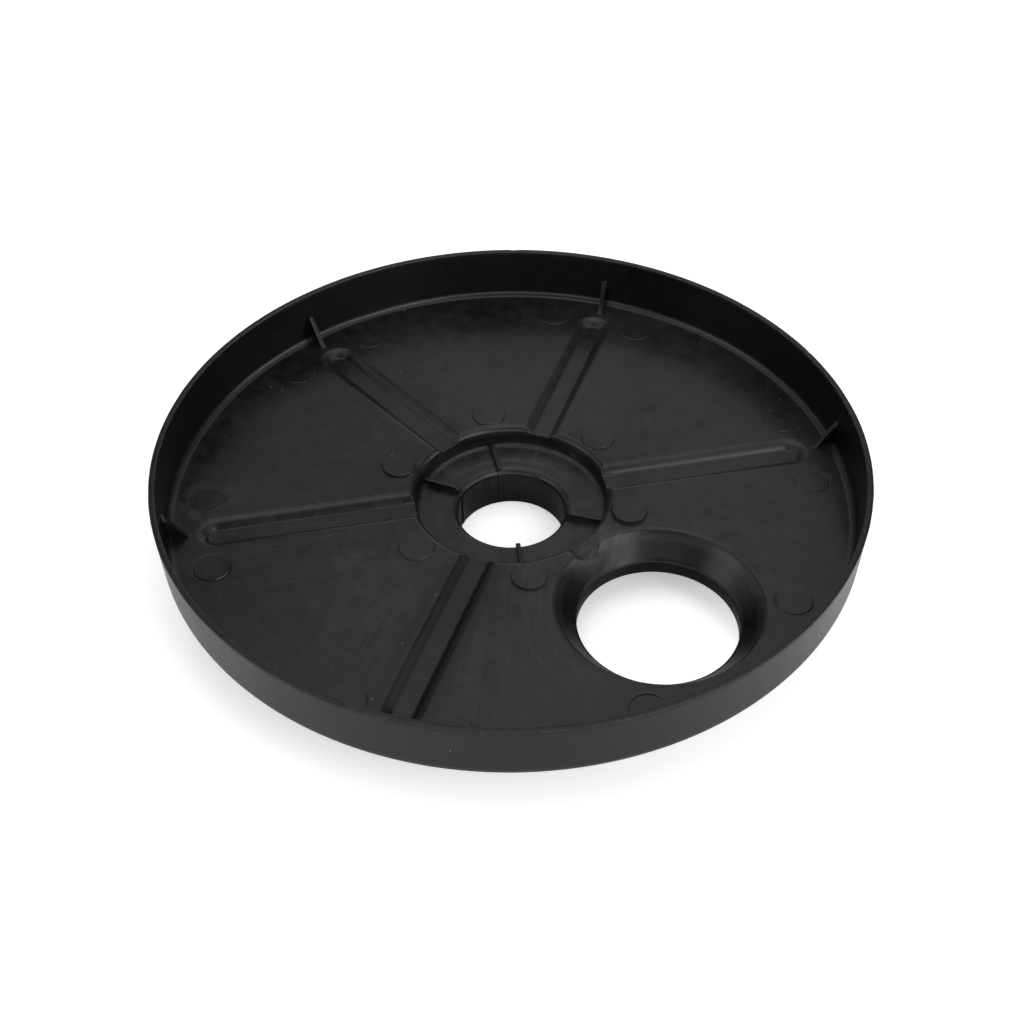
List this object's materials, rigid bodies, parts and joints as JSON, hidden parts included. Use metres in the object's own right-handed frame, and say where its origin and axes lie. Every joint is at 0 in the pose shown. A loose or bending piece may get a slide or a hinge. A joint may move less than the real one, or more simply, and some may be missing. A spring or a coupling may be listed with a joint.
{
  "type": "surface cleaner deck",
  "caption": "Round dished deck of a rotary surface cleaner with a central swivel collar, radial flutes and an offset tapered suction socket.",
  "frame": {"origin": "on the deck's axis, at the end face of the central collar, which is the lowest face with the open side up", "axes": "+Z along the deck's axis towards its open side; the suction socket is off the axis at about 311 degrees from +X, so towards +X and -Y"},
  "size_m": [0.3, 0.3, 0.0533],
  "materials": {
    "black_plastic": "semi-gloss black injection-moulded plastic"
  },
  "bodies": {
    "root": {"deck_moulding": "black_plastic"}
  },
  "joints": []
}
